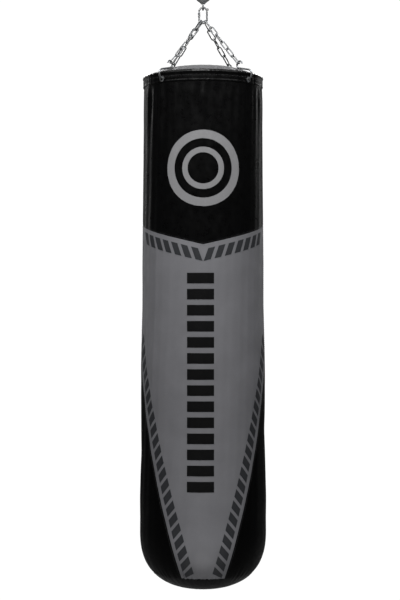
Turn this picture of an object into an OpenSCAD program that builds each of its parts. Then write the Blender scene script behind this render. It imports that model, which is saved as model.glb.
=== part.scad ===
// Heavy punching bag: a stuffed leather bag on a chain yoke, a snap hook and a ball swivel.
// The origin is the centre of the hanging eye, +Z is up and the bag's face looks along -Y.
// Heights named *_z are above the rim of the bag, and on_rim() moves them into this frame.

/* [Bag] */
// Height of the bag from rim to bottom
bag_h = 1500; // [1500:5:1600]
// Outer radius of the skin under the rim
top_r = 173.3; // [173:0.1:173.6]
// Outer radius of the skin where the bottom starts to round
belly_r = 185; // [180:0.5:188]
// Height of the rounded bottom
bottom_h = 170; // [150:5:180]
// Thickness of the leather skin
skin_t = 1.5; // [1:0.1:1.8]
// Thickness of the foam liner
liner_t = 12; // [8:1:16]

/* [Panels] */
// Depth of the black top panel at the middle of the face
vee_depth = 497; // [450:1:520]
// How much higher that seam is at the sides
vee_rise = 64; // [40:1:80]
// Half width of the middle panel at the bottom seam
panel_foot = 63; // [50:1:75]
// Half width that the middle panel gains for each millimetre of height
panel_flare = 0.315; // [0.3:0.005:0.35]
// Depth of the seam between the side leather and the bottom disc
foot_seam = 1448; // [1440:1:1455]

/* [Rim] */
// Radius of the steel hoop in the rim
hoop_r = 169.5; // [169:0.1:169.8]
// Wire radius of the hoop
hoop_wire = 5; // [4:0.5:5]
// Depth of the sewn rim hem
hem_h = 34; // [32:1:36]
// Radius of the hole in an eyelet
eyelet_r = 4.5; // [4:0.1:4.7]

/* [Chain yoke] */
// Turn of the first strand about the bag's axis
yoke_turn = -132; // [-135:1:-128]
// Links in each strand
link_count = 6; // [6:1:6]
// Inner length of a chain link
link_l = 32; // [32:0.1:32.2]
// Inner width of a chain link
link_w = 8; // [7.8:0.1:8.2]
// Wire radius of a chain link
link_wire = 2; // [1.9:0.1:2]
// Distance between the centres of an S-hook's two loops
s_spacing = 43.5; // [43.3:0.1:44]

/* [Snap hook and swivel] */
// Wire radius of the snap hook
snap_wire = 2.8; // [2.7:0.1:2.8]
// Radius of the snap hook's round ends
snap_r = 11.5; // [11.4:0.1:11.6]
// Height of the snap hook's top wire above the rim
snap_top_z = 205; // [204.8:0.1:205.2]
// Radius of the swivel's lower eye
eye_r = 8; // [7.9:0.1:8.1]
// Outer radius of the swivel housing
housing_r = 19; // [18:0.5:20]
// Number of balls in the swivel
ball_count = 10; // [8:1:10]
// Height of the hanging eye above the rim
hang_z = 300; // [300:1:306]
// Radius of the hole in the hanging eye
hang_bore_r = 11; // [9:0.5:12]

/* [Zip] */
// Half length of the zip in the lid
zip_half = 88; // [80:1:92]
// Distance from one zip tooth to the next
tooth_pitch = 4; // [3.5:0.1:5]

/* [Hidden] */
STRANDS = ["front_left", "front_right", "back_right", "back_left"];
$fn = 64;

gap = 0.3;                        // clearance between neighbouring pieces
side_h = bag_h - bottom_h;        // depth at which the bottom starts to round
round_power = 2.5;                // exponent of the bottom's superellipse
hem_wire = 7;                     // radius of the hem's bump round the hoop
hoop_z = -hem_wire;
hem_in_r = 171.8;
hem_out_r = 174.8;
eyelet_z = -23;
eyelet_flange_r = 8.5;

// Swivel, from the hanging eye down
bolt_r = 5;
bolt_z = hang_z - 31;
tongue_r = 9;
fork_in = 5.5;                    // half gap between the fork's arms
fork_out = 11.5;
cap_z = 253;                      // top of the cap
housing_top_z = 247;
housing_nose_z = 219.5;
shank_r = 6;
shank_bore_r = shank_r + 0.4;
ball_r = 2.4;
ball_pitch_r = 11.4;
ball_z = 234.6;
race_r = 15.6;
race_h = 3.5;
nut_z = 239.7;
eye_wire = 3;
eye_low_z = snap_top_z - snap_wire - eye_wire - gap;
eye_z = eye_low_z + eye_r;

// Snap hook
snap_arc_top_z = snap_top_z - snap_r;
snap_arc_low_z = snap_top_z - 46 + snap_r;
gate_z = snap_arc_low_z + 3;
gate_top_z = snap_arc_top_z + 0.2;
rivet_r = 0.95;
spine_r = 3.6;
spine_start = 5;                   // the thick part starts clear of the top links

// Chain yoke
s_wire = 2.7;
s_low_r = 14;
s_up_r = 10;
s_low = [172.5, -8.2];
seat_gap = 0.2;
snap_seat_gap = 0.25;
low_seat_r = s_up_r - s_wire - link_wire - seat_gap;
fan = [17.5, -60, -17.5, 60];     // where each strand sits round the snap hook's bottom
slant = atan2(s_low.x, snap_arc_low_z - snap_r / 2 - s_low.y);
s_up = s_low + s_spacing * [-sin(slant), cos(slant)];

// Lid and zip
lid_t = 1.5;
lid_top_z = 25.5;
lid_flat_r = 98;
lid_edge = [150, -8];
lid_foot = [166.5, -36];
slot_half = 6;
zip_z = 23.4;                     // middle of the zip's thickness
slider_x = 78;                    // where the closed slider stands
pull_z = 29.5;

// ---------- shapes that repeat ----------

module on_rim() translate([0, 0, -hang_z]) children();

module at_strand(i) rotate([0, 0, yoke_turn + 90 * i]) children();

// A solid of revolution given by [radius, height] points
module turned(points) rotate_extrude() polygon(points);

module tube(outer_r, inner_r, h) difference() {
    cylinder(r = outer_r, h = h);
    translate([0, 0, -1]) cylinder(r = inner_r, h = h + 2);
}

// Round bar along X, centred on the origin
module cross_bar(r, l) rotate([0, 90, 0]) cylinder(r = r, h = l, center = true);

// Round bar along Y, centred on the origin
module depth_bar(r, l) rotate([90, 0, 0]) cylinder(r = r, h = l, center = true);

// Bent wire in the XZ plane, from angle a to angle b measured from +X towards +Z
module wire_arc(r, wire, a, b) rotate([90, 0, 0]) rotate([0, 0, a])
    rotate_extrude(angle = b - a) translate([r, 0]) circle(wire);

// Straight wire between two [x, z] points of the XZ plane. It is a hair thinner than the arcs
// that it joins, and its ends reach a little way into them
rod_shrink = 0.05;
rod_reach = 0.8;
module wire_rod(p, q, wire) translate([p.x, 0, p.y])
    rotate([0, atan2(q.x - p.x, q.y - p.y), 0]) translate([0, 0, -rod_reach])
        cylinder(r = wire - rod_shrink, h = norm(q - p) + 2 * rod_reach);

function ring_point(centre, r, a) = centre + r * [cos(a), sin(a)];

// ---------- hanging clevis and swivel ----------

module hang_clevis() color("silver") on_rim() difference() {
    union() {
        translate([0, 0, hang_z]) depth_bar(18, 12);
        translate([-fork_out, -tongue_r, bolt_z + 11]) cube([2 * fork_out, 2 * tongue_r, 8]);
        for (x = [-fork_out, fork_in]) translate([x, 0, bolt_z]) {
            rotate([0, 90, 0]) cylinder(r = tongue_r, h = fork_out - fork_in);
            translate([0, -tongue_r, 0]) cube([fork_out - fork_in, 2 * tongue_r, 13]);
        }
    }
    translate([0, 0, hang_z]) depth_bar(hang_bore_r, 40);
    translate([0, 0, bolt_z]) cross_bar(bolt_r + 0.15, 60);
}

module clevis_bolt() color("gainsboro") on_rim() translate([0, 0, bolt_z]) {
    translate([-1, 0, 0]) cross_bar(bolt_r, 42);
    translate([-fork_out - gap - 6, 0, 0]) rotate([0, 90, 0]) cylinder(r = 9, h = 6, $fn = 6);
}

module clevis_nut() color("gainsboro") on_rim() translate([fork_out + gap, 0, bolt_z])
    rotate([0, 90, 0]) difference() {
        cylinder(r = 9, h = 7, $fn = 6);
        translate([0, 0, -1]) cylinder(r = bolt_r + 0.1, h = 9);
    }

module swivel_housing() color("silver") on_rim() turned([
    [shank_bore_r, housing_nose_z], [10, housing_nose_z], [housing_r, housing_nose_z + 7],
    [housing_r, housing_top_z], [race_r + 0.4, housing_top_z],
    [race_r + 0.4, housing_nose_z + 10], [shank_bore_r, housing_nose_z + 10]
]);

module swivel_cap() color("silver") on_rim() difference() {
    union() {
        translate([0, 0, housing_top_z + gap])
            cylinder(r = housing_r, h = cap_z - housing_top_z - gap);
        translate([0, 0, housing_top_z - 4]) tube(race_r, 12, 5);
        translate([0, 0, bolt_z]) cross_bar(tongue_r, 2 * fork_in - 1);
        translate([0.5 - fork_in, -tongue_r, cap_z - 1])
            cube([2 * fork_in - 1, 2 * tongue_r, bolt_z - cap_z + 1]);
    }
    translate([0, 0, bolt_z]) cross_bar(bolt_r + 0.15, 60);
}

module race_blank(z) difference() {
    translate([0, 0, z]) tube(race_r, 7.2, race_h);
    translate([0, 0, ball_z]) rotate_extrude() translate([ball_pitch_r, 0]) circle(ball_r + 0.1);
}

module lower_race() color("lightsteelblue") on_rim() race_blank(housing_nose_z + 10 + gap);

module upper_race() color("lightsteelblue") on_rim() race_blank(nut_z - gap - race_h);

module at_balls() for (i = [0 : ball_count - 1])
    rotate([0, 0, 360 / ball_count * i]) translate([ball_pitch_r, 0, ball_z]) children();

module bearing_balls() color("gainsboro") on_rim() at_balls() sphere(ball_r);

module ball_cage() color("peru") on_rim() difference() {
    translate([0, 0, ball_z - 0.7]) tube(race_r - 0.6, 8.2, 1.4);
    at_balls() translate([0, 0, -2]) cylinder(r = ball_r + 0.2, h = 4);
}

module swivel_shank() color("silver") on_rim() difference() {
    union() {
        translate([0, 0, eye_z]) rotate([0, 90, 0]) rotate_extrude()
            translate([eye_r, 0]) circle(eye_wire);
        translate([0, 0, eye_z + eye_r + 0.8]) cylinder(r = 7.5, h = 3.7);
        translate([0, 0, eye_z + eye_r + 1]) cylinder(r = shank_r, h = 246 - eye_z - eye_r - 1);
    }
    translate([0, 0, nut_z + 3]) cross_bar(1.15, 30);
}

module shank_nut() color("silver") on_rim() difference() {
    translate([0, 0, nut_z]) cylinder(r = 10, h = 5.5, $fn = 6);
    translate([0, 0, nut_z - 1]) cylinder(r = shank_r + 0.15, h = 8);
    translate([0, 0, nut_z + 3]) cross_bar(1.15, 30);
}

module split_pin() color("gray") on_rim() translate([0, 0, nut_z + 3]) cross_bar(1, 21);

// ---------- snap hook ----------

// The forged hook is thicker along its back, with a short taper at both ends
module snap_spine() let (h = snap_arc_top_z - snap_arc_low_z - spine_start)
    translate([-snap_r, 0, snap_arc_low_z + spine_start]) rotate_extrude()
        polygon([[0, 0], [snap_wire - 0.2, 0], [spine_r, 4], [spine_r, h - 4], [snap_wire - 0.2, h],
                 [0, h]]);

module snap_hook() color("silver") on_rim() difference() {
    union() {
        translate([0, 0, snap_arc_top_z]) wire_arc(snap_r, snap_wire, 8, 180);
        wire_rod([-snap_r, snap_arc_low_z], [-snap_r, snap_arc_top_z], snap_wire);
        snap_spine();
        translate([0, 0, snap_arc_low_z]) wire_arc(snap_r, snap_wire, 180, 345);
        translate([snap_r + 2.2, 0, snap_arc_top_z + 5.6]) depth_bar(3.5, 6);
        for (y = [-4, 2.2]) translate([snap_r - 3, y, snap_arc_low_z - 3]) cube([6, 1.8, 9]);
    }
    translate([snap_r, 0, gate_z]) depth_bar(rivet_r + 0.1, 12);
}

module gate_rivet() color("gainsboro") on_rim() translate([snap_r, 0, gate_z]) {
    depth_bar(rivet_r, 9);
    for (y = [-4.8, 4.8]) translate([0, y, 0]) depth_bar(1.9, 1);
}

module snap_gate() color("gainsboro") on_rim() difference() {
    union() {
        translate([snap_r, 0, gate_z + 5]) cylinder(r = 2.8, h = gate_top_z - gate_z - 5);
        translate([snap_r, 0, gate_z]) depth_bar(2.7, 3.8);
        translate([snap_r - 2.4, -1.9, gate_z]) cube([4.8, 3.8, 6]);
    }
    translate([snap_r, 0, gate_z]) depth_bar(rivet_r + 0.1, 12);
}

// ---------- chain strands and S-hooks ----------

link_arc_z = link_l / 2 - link_w / 2;
link_arc_r = link_w / 2 + link_wire;
end_reach = link_l / 2 + link_wire;   // from a link's middle to its end wire

module chain_link() {
    for (s = [0, 180]) rotate([s, 0, 0]) translate([0, 0, link_arc_z])
        wire_arc(link_arc_r, link_wire, 0, 180);
    for (x = [-link_arc_r, link_arc_r]) translate([x, 0, -link_arc_z])
        cylinder(r = link_wire, h = 2 * link_arc_z);
}

function strand_out(i) = [cos(yoke_turn + 90 * i), sin(yoke_turn + 90 * i), 0];
// Where a strand's last end wire seats in the S-hook, and its first in the snap hook
function low_seat(i) = let (s = s_up + low_seat_r * [-sin(slant), cos(slant)])
    s.x * strand_out(i) + [0, 0, s.y];
function snap_point(i) = [-snap_r * sin(fan[i]), 0, snap_arc_low_z - snap_r * cos(fan[i])];
function snap_dir(i) = [-cos(fan[i]), 0, sin(fan[i])];
function top_seat(i) = let (
    v = snap_point(i) - low_seat(i),
    lift = v - (v * snap_dir(i)) * snap_dir(i)
) snap_point(i) + (snap_wire + link_wire + snap_seat_gap) * lift / norm(lift);

// Roll of the top link about the strand, so that it straddles the snap hook's wire squarely
function top_roll(v, i, tilt, turn) = let (
    w = cross(v, snap_dir(i)),
    ex = [cos(tilt) * cos(turn), cos(tilt) * sin(turn), -sin(tilt)],
    ey = [-sin(turn), cos(turn), 0]
) atan2(w * ey, w * ex);

module chain_strand(i) {
    low = low_seat(i);
    span = top_seat(i) - low;
    v = span / norm(span);
    pitch = (norm(span) - 2 * end_reach) / (link_count - 1);
    tilt = acos(v.z);
    turn = atan2(v.y, v.x);
    lead = top_roll(v, i, tilt, turn) - 90 * link_count;
    twist = (lead - 180 * round(lead / 180)) / (link_count - 1);
    for (k = [0 : link_count - 1])
        translate(low + v * (end_reach + pitch * k)) rotate([0, tilt, turn])
            rotate([0, 0, 90 + (90 + twist) * k]) chain_link();
}

module chain(i) color("silver") on_rim() chain_strand(i);

module s_hook(i) color("silver") on_rim() at_strand(i) {
    lean = asin((s_low_r + s_up_r) / s_spacing);
    meet = slant + lean;              // angle at which the straight part leaves the lower loop
    tips = [200, 20];
    translate([s_low.x, 0, s_low.y]) wire_arc(s_low_r, s_wire, tips[0], meet + 360);
    translate([s_up.x, 0, s_up.y]) wire_arc(s_up_r, s_wire, tips[1], meet + 180);
    wire_rod(ring_point(s_low, s_low_r, meet), ring_point(s_up, s_up_r, meet + 180), s_wire);
}

// ---------- rim ----------

module rim_hoop() color("dimgray") on_rim() translate([0, 0, hoop_z])
    rotate_extrude() translate([hoop_r, 0]) circle(hoop_wire);

module rim_hem() color("black") on_rim() difference() {
    rotate_extrude() difference() {
        union() {
            translate([hoop_r, hoop_z]) circle(hem_wire);
            translate([hem_in_r, -hem_h]) square([hem_out_r - hem_in_r, hem_h - 10]);
        }
        translate([hoop_r, hoop_z]) circle(hoop_wire + 0.2);
    }
    for (i = [0 : 3]) at_strand(i) translate([hem_in_r, 0, eyelet_z])
        cross_bar(eyelet_r + 1 + gap, 12);
}

module eyelets() color("silver") on_rim() for (i = [0 : 3]) at_strand(i)
    translate([0, 0, eyelet_z]) rotate([0, 90, 0]) difference() {
        union() {
            translate([0, 0, hem_in_r - 1.4]) cylinder(r = eyelet_r + 1, h = 5.6);
            for (x = [hem_in_r - 1.5, hem_out_r + gap])
                translate([0, 0, x]) cylinder(r = eyelet_flange_r, h = 1);
        }
        translate([0, 0, hem_in_r - 5]) cylinder(r = eyelet_r, h = 12);
    }

// ---------- leather skin ----------

function side_r(depth) = top_r + (belly_r - top_r) * depth / side_h;

// Outline of the bag from a depth down to the bottom, moved inwards by inset
function outline(from, inset) = concat(
    [[side_r(from) - inset, -from]],
    [for (a = [0 : 7.5 : 90]) [
        (belly_r - inset) * pow(max(cos(a), 0), 2 / round_power),
        -side_h - (bottom_h - inset) * pow(sin(a), 2 / round_power)
    ]]
);

// A wall that follows the outline between two insets
module skin_wall(from, inset, thickness) turned(concat(
    outline(from, inset),
    [for (i = [1 : len(outline(from, 0))]) let (p = outline(from, inset + thickness)) p[len(p) - i]]
));

// The height of each seam at a place x across the bag
function vee_z(x) = -vee_depth + vee_rise * asin(min(abs(x) / side_r(vee_depth), 1)) / 90;
function panel_half(z) = side_r(-z) * sin((panel_foot + panel_flare * (z + foot_seam))
    / side_r(-z) * 180 / PI);

seam_gap = 0.15;
wide = 200;
apex_angle = 82;                  // how far round the bag a side panel's blunt top reaches
apex_rise = (apex_angle * PI / 180 * side_r(vee_depth) - panel_foot) / panel_flare;
panel_steps = [for (k = [0 : 8]) -foot_seam + apex_rise * k / 8];

// Everything above the vee seam, as a prism along Y
module above_vee(lift) rotate([90, 0, 0]) linear_extrude(height = 2 * wide, center = true)
    polygon(concat(
        [for (x = [-180 : 15 : 180]) [x, vee_z(x) + lift]],
        [[wide, vee_z(wide) + lift], [wide, 10], [-wide, 10], [-wide, vee_z(wide) + lift]]
    ));

// Everything within the tapering middle panel's edges, as a prism along Y
module within_panel(spread) rotate([90, 0, 0]) linear_extrude(height = 2 * wide, center = true)
    polygon(concat(
        [for (z = panel_steps) [panel_half(z) + spread, z - seam_gap]],
        [[wide, apex_rise - foot_seam], [wide, 10], [-wide, 10], [-wide, apex_rise - foot_seam]],
        [for (i = [1 : len(panel_steps)]) let (z = panel_steps[len(panel_steps) - i])
            [-panel_half(z) - spread, z - seam_gap]]
    ));

// Half of space: side is 1 for +Y or +X and -1 for the other way
module half_y(side) translate([-wide, side > 0 ? seam_gap : -wide - seam_gap, -bag_h - 5])
    cube([2 * wide, wide, bag_h + 50]);
module half_x(side) translate([side > 0 ? seam_gap : -wide - seam_gap, -wide, -bag_h - 5])
    cube([wide, 2 * wide, bag_h + 50]);
module above_foot(lift) translate([-wide, -wide, -foot_seam + lift])
    cube([2 * wide, 2 * wide, bag_h]);

module top_panel(side) on_rim() intersection() {
    skin_wall(hem_h + gap, 0, skin_t);
    above_vee(seam_gap);
    half_y(side);
}

module middle_panel(side) on_rim() difference() {
    intersection() {
        skin_wall(hem_h + gap, 0, skin_t);
        within_panel(-seam_gap);
        above_foot(seam_gap);
        half_y(side);
    }
    above_vee(-seam_gap);
}

module side_panel(side) on_rim() difference() {
    intersection() {
        skin_wall(hem_h + gap, 0, skin_t);
        above_foot(seam_gap);
        half_x(side);
    }
    within_panel(seam_gap);
}

module bottom_disc() color("black") on_rim() difference() {
    skin_wall(hem_h + gap, 0, skin_t);
    above_foot(-seam_gap);
}

// ---------- what is inside the skin ----------

liner_in = skin_t + gap;
core_in = liner_in + liner_t + gap;
pad_t = 20;
core_top_z = -0.3;

module foam_liner() color("lightyellow") on_rim() turned([
    [side_r(hem_h + 4) - liner_in, -hem_h - 4], [belly_r - liner_in, -side_h],
    [belly_r - liner_in - liner_t, -side_h], [side_r(hem_h + 4) - liner_in - liner_t, -hem_h - 4]
]);

module bottom_pad() color("lightgray") on_rim() difference() {
    skin_wall(hem_h, liner_in, pad_t);
    translate([-wide, -wide, -side_h - gap]) cube([2 * wide, 2 * wide, bag_h]);
}

module filling_core() color("tan") on_rim() turned(concat(
    [[0, core_top_z], [139, core_top_z], [153, -hem_h], [side_r(hem_h + 4) - core_in, -hem_h - 4]],
    [[belly_r - core_in, -side_h]],
    outline(side_h, liner_in + pad_t + gap)
));

function lid_curve(inset) = [for (a = [90 : -10 : 0])
    [lid_flat_r + (lid_edge.x - lid_flat_r - inset) * cos(a),
     lid_edge.y + (lid_top_z - lid_edge.y - inset) * sin(a)]];

module hook_pockets(extra) for (i = [0 : 3]) at_strand(i)
    translate([s_up.x, 0, s_up.y]) depth_bar(s_up_r + s_wire + 1 + extra, 9 + 2 * extra);

module top_pad() color("lightgray") on_rim() difference() {
    turned(concat([[0, 0], [0, 19]], lid_curve(6.5), [[142, 0]]));
    hook_pockets(1.8);
}

module lid_shell() difference() {
    turned(concat(
        [[0, lid_top_z]], lid_curve(0), [[lid_foot.x, lid_foot.y + 1]],
        [[171.5, lid_foot.y + 1], [171.5, lid_foot.y], [lid_foot.x - lid_t, lid_foot.y]],
        [for (i = [1 : 10]) lid_curve(lid_t)[10 - i]], [[0, lid_top_z - lid_t]]
    ));
    hook_pockets(0);
    translate([-zip_half - 4, -slot_half, 0]) cube([2 * zip_half + 8, 2 * slot_half, 50]);
}

module lid_half(side) on_rim() intersection() {
    lid_shell();
    half_y(side);
}

// ---------- zip ----------

module zip_tape(side) color("black") on_rim()
    translate([-zip_half - 4, side > 0 ? 3.4 : -14, zip_z - 0.4])
        cube([2 * zip_half + 8, 10.6, 0.7]);

// Each tooth has a body and a round knob that points to the other row
module zip_teeth(side) color("gold") on_rim()
    for (x = [-zip_half + 2 : tooth_pitch : zip_half - 4]) mirror([0, side > 0 ? 0 : 1, 0])
        translate([x + (side > 0 ? tooth_pitch / 2 : 0), 0, zip_z - 1.2]) {
            translate([-0.8, 1.6, 0]) cube([1.6, 1.6, 2.4]);
            translate([0, 1.4, 0]) cylinder(r = 0.9, h = 2.4);
        }

module zip_stops() color("gold") on_rim() for (x = [-zip_half - 1.5, zip_half + 1.5])
    translate([x - 0.8, -3, zip_z - 1.3]) cube([1.6, 6, 2.6]);

module zip_slider() color("silver") on_rim() translate([slider_x, 0, 0]) {
    translate([-7, -5, zip_z + 1.8]) cube([14, 10, 1.5]);
    translate([-7, -5, zip_z - 3.2]) cube([14, 10, 1.4]);
    translate([3, -0.2, zip_z - 2]) cube([3, 0.4, 4]);
    for (y = [-5, 4.2]) translate([-6, y, zip_z + 0.8]) cube([12, 0.8, 1.2]);
    for (y = [-4.5, 3.3]) translate([-1, y, zip_z + 3]) cube([2, 1.2, pull_z - zip_z - 2]);
    translate([0, 0, pull_z]) depth_bar(0.9, 7);
}

module zip_pull() color("silver") on_rim() translate([slider_x, 0, pull_z]) difference() {
    union() {
        depth_bar(2.1, 5.6);
        translate([-30, -4, -0.8]) cube([25, 8, 1.6]);
        translate([-6, -2.8, -0.8]) cube([6, 5.6, 1.6]);
        translate([-30, 0, -0.8]) cylinder(r = 4, h = 1.6);
    }
    depth_bar(1.1, 20);
    translate([-29, 0, -3]) cylinder(r = 1.8, h = 6);
}

hang_clevis();
clevis_bolt();
clevis_nut();
swivel_housing();
swivel_cap();
lower_race();
ball_cage();
bearing_balls();
swivel_shank();
upper_race();
shank_nut();
split_pin();
snap_hook();
gate_rivet();
snap_gate();
for (i = [0 : 3]) {
    chain(i);
    s_hook(i);
}
rim_hoop();
rim_hem();
eyelets();
color("black") top_panel(-1);  // top_panel_front
color("black") top_panel(1);  // top_panel_back
color("dimgray") middle_panel(-1);  // middle_panel_front
color("dimgray") middle_panel(1);  // middle_panel_back
color("black") side_panel(-1);  // side_panel_left
color("black") side_panel(1);  // side_panel_right
bottom_disc();
foam_liner();
filling_core();
top_pad();
bottom_pad();
color("gray") lid_half(-1);  // lid_front
color("gray") lid_half(1);  // lid_back
zip_tape(-1);  // zip_tape_front
zip_tape(1);  // zip_tape_back
zip_teeth(-1);  // zip_teeth_front
zip_teeth(1);  // zip_teeth_back
zip_stops();
zip_slider();
zip_pull();
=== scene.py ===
"""Looks of the heavy punching bag: its leather skin, seams, prints, rim, lid and stuffing."""

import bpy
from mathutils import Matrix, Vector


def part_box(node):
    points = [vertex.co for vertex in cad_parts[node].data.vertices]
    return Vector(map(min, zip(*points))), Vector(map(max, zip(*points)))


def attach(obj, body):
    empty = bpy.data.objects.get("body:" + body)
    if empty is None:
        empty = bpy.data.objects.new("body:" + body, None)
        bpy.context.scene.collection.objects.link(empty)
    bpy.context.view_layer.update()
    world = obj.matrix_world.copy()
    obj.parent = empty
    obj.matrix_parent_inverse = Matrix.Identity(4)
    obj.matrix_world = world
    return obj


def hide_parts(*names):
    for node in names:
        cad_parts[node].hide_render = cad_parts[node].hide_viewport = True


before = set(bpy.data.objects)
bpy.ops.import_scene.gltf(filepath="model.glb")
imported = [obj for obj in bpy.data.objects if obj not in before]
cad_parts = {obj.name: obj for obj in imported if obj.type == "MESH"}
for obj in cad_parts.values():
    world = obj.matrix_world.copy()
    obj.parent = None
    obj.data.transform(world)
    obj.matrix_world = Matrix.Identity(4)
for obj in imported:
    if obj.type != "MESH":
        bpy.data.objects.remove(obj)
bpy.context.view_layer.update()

import math

import bmesh
import bpy
import numpy as np

# ---------- camera ----------
# Lengths below are in millimetres and heights are above the rim, unless a name ends in _M.

MM = 0.001
RIM_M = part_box("rim_hem")[1][2]
CAMERA_DISTANCE_M = 4.48
CAMERA_DROP_M = 0.654
CAMERA_SIDE_M = -0.0088

camera_data = bpy.data.cameras.new("camera")
camera_data.sensor_width = 36
camera_data.lens = 91.5
camera = bpy.data.objects.new("camera", camera_data)
camera.location = (CAMERA_SIDE_M, -CAMERA_DISTANCE_M, RIM_M - CAMERA_DROP_M)
camera.rotation_euler = (math.pi / 2, 0, 0)
bpy.context.scene.collection.objects.link(camera)
bpy.context.scene.camera = camera

# ---------- sizes, from the frame ----------

LINER_GAP = 1.8                    # from the foam liner to the outside of the leather
BELLY_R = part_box("foam_liner")[1][0] / MM + LINER_GAP
FOOT_LIFT = 3                      # the photo's bag ends this much higher than the frame's
BAG_H = (RIM_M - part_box("bottom_disc")[0][2]) / MM - FOOT_LIFT
TOP_R = 173.3
HEM_H = (RIM_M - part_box("rim_hem")[0][2]) / MM
BOTTOM_H = 170
SIDE_H = BAG_H - BOTTOM_H
ROUND_POWER = 2.5
VEE_DEPTH = 497
VEE_RISE = 65
PANEL_FOOT = 63
PANEL_FLARE = 0.315
FOOT_SEAM = 1448
LEATHER_T = 1.4
YOKE_TURN = -132
EYELET_Z = -23
RNG = np.random.default_rng(7)


def row_frame(points):
    """Points in millimetres above the rim, as metres in the row frame."""
    moved = np.asarray(points, dtype=float) * MM
    moved[..., 2] += RIM_M
    return moved


# ---------- outline of the bag ----------

def ripple(z):
    """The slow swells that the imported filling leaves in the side."""
    depth = -z
    fade = np.clip((depth - 560) / 120, 0, 1) * np.clip((1290 - depth) / 60, 0, 1)
    return 1.3 * fade * np.sin(2 * np.pi * (depth - 740) / 430)


def side_radius(z):
    """The bag's radius on its side, above the rounded bottom."""
    return TOP_R + (BELLY_R - TOP_R) * -z / SIDE_H + ripple(z)


SKIN_TOP_Z = -30
side_z = -np.arange(-SKIN_TOP_Z, SIDE_H, 2.0)
turn = np.radians(np.linspace(0, 90, 160))
outline_r = np.concatenate([side_radius(side_z), BELLY_R * np.cos(turn) ** (2 / ROUND_POWER)])
outline_z = np.concatenate([side_z, -SIDE_H - BOTTOM_H * np.sin(turn) ** (2 / ROUND_POWER)])
outline_r[-1] = 0
steps = np.hypot(np.diff(outline_r), np.diff(outline_z))
outline_s = np.concatenate([[0], np.cumsum(steps)])
tangent_r = np.gradient(outline_r, outline_s)
tangent_z = np.gradient(outline_z, outline_s)
SKIN_LENGTH = outline_s[-1]


def run_at(z):
    """Distance along the outline, from the skin's top, at a height on the bag."""
    return np.interp(-np.asarray(z, dtype=float), -outline_z, outline_s)


def height_at(s):
    """Height at a distance along the outline."""
    return np.interp(s, outline_s, outline_z)


def radius_at_run(s):
    """Radius at a distance along the outline."""
    return np.interp(s, outline_s, outline_r)


# ---------- seams ----------

def face_angle(theta):
    """Degrees round from the middle of the nearer face, front or back, from 0 to 90."""
    folded = np.abs((np.asarray(theta, dtype=float) + 180) % 360 - 180)
    return np.minimum(folded, 180 - folded)


def vee_z(theta):
    """Height of the seam under the black top, which rises to the sides."""
    return -VEE_DEPTH + VEE_RISE * face_angle(theta) / 90


def panel_angle(z):
    """Degrees from the middle of a face to the middle panel's edge."""
    half = PANEL_FOOT + PANEL_FLARE * (np.asarray(z, dtype=float) + FOOT_SEAM)
    return np.clip(np.degrees(half / np.maximum(radius_at_run(run_at(z)), 1)), 0, 90)


FOOT_RUN = float(run_at(-FOOT_SEAM))
APEX_R = 179.5
APEX_Z = -FOOT_SEAM + (math.pi / 2 * APEX_R - PANEL_FOOT) / PANEL_FLARE
VEE_SLOPE, EDGE_SLOPE = 0.975, 0.958       # about the cosines of the seams' slants
NO_SEAM = 1e3


def seam_distance(s, theta):
    """Distance over the leather to the nearest seam."""
    z = height_at(s)
    arc = np.radians(1) * np.maximum(radius_at_run(s), 1)
    round_angle = face_angle(theta)
    to_vee = np.abs(z - vee_z(theta)) * VEE_SLOPE
    to_foot = np.abs(s - FOOT_RUN)
    off_edge = np.abs(round_angle - panel_angle(z)) * arc * EDGE_SLOPE
    to_edge = np.where((z < APEX_Z) & (s <= FOOT_RUN), off_edge, NO_SEAM)
    to_side = np.where(z > APEX_Z, (90 - round_angle) * arc, NO_SEAM)
    return np.minimum(np.minimum(to_vee, to_foot), np.minimum(to_edge, to_side))


# ---------- cloth simulation of the filled skin ----------

SIM_RINGS = 150
SIM_COLUMNS = 144
SIM_FRAMES = 20
SIM_SHRINK = 1.5
SIM_CAP = 4.0
SIM_KEEP = 0.6
SIM_LENGTH = SKIN_LENGTH - 12              # the rest is the fan of faces in the bottom's middle
SMOOTH_WEIGHT, SMOOTH_PASSES = 0.25, 6
sim_s = np.linspace(0, SIM_LENGTH, SIM_RINGS)
sim_theta = np.arange(SIM_COLUMNS) * 360 / SIM_COLUMNS


def plain_points(s, theta, lift):
    """Points of the plain outline, pushed out by lift, in millimetres above the rim."""
    r, z = radius_at_run(s), height_at(s)
    out_r = -np.interp(s, outline_s, tangent_z)
    out_z = np.interp(s, outline_s, tangent_r)
    r = r + out_r * lift
    angle = np.radians(theta)
    return np.stack([r * np.sin(angle), -r * np.cos(angle), z + out_z * lift], axis=-1)


def grid_faces(rows, columns, wrap):
    """Quads between a grid's points. With wrap, the last column joins the first."""
    last = columns if wrap else columns - 1
    return [
        (r * columns + c, (r + 1) * columns + c,
         (r + 1) * columns + (c + 1) % columns, r * columns + (c + 1) % columns)
        for r in range(rows - 1) for c in range(last)
    ]


def smoothed(lift):
    """Takes the finest crumples out, as the foam behind the leather does."""
    own_weight = 1 - 2 * SMOOTH_WEIGHT
    for _ in range(SMOOTH_PASSES):
        around = np.roll(lift, 1, axis=1) + np.roll(lift, -1, axis=1)
        lift = own_weight * lift + SMOOTH_WEIGHT * around
        above = np.vstack([lift[:1], lift[:-1]])
        below = np.vstack([lift[1:], lift[-1:]])
        lift = own_weight * lift + SMOOTH_WEIGHT * (above + below)
    return lift


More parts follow.
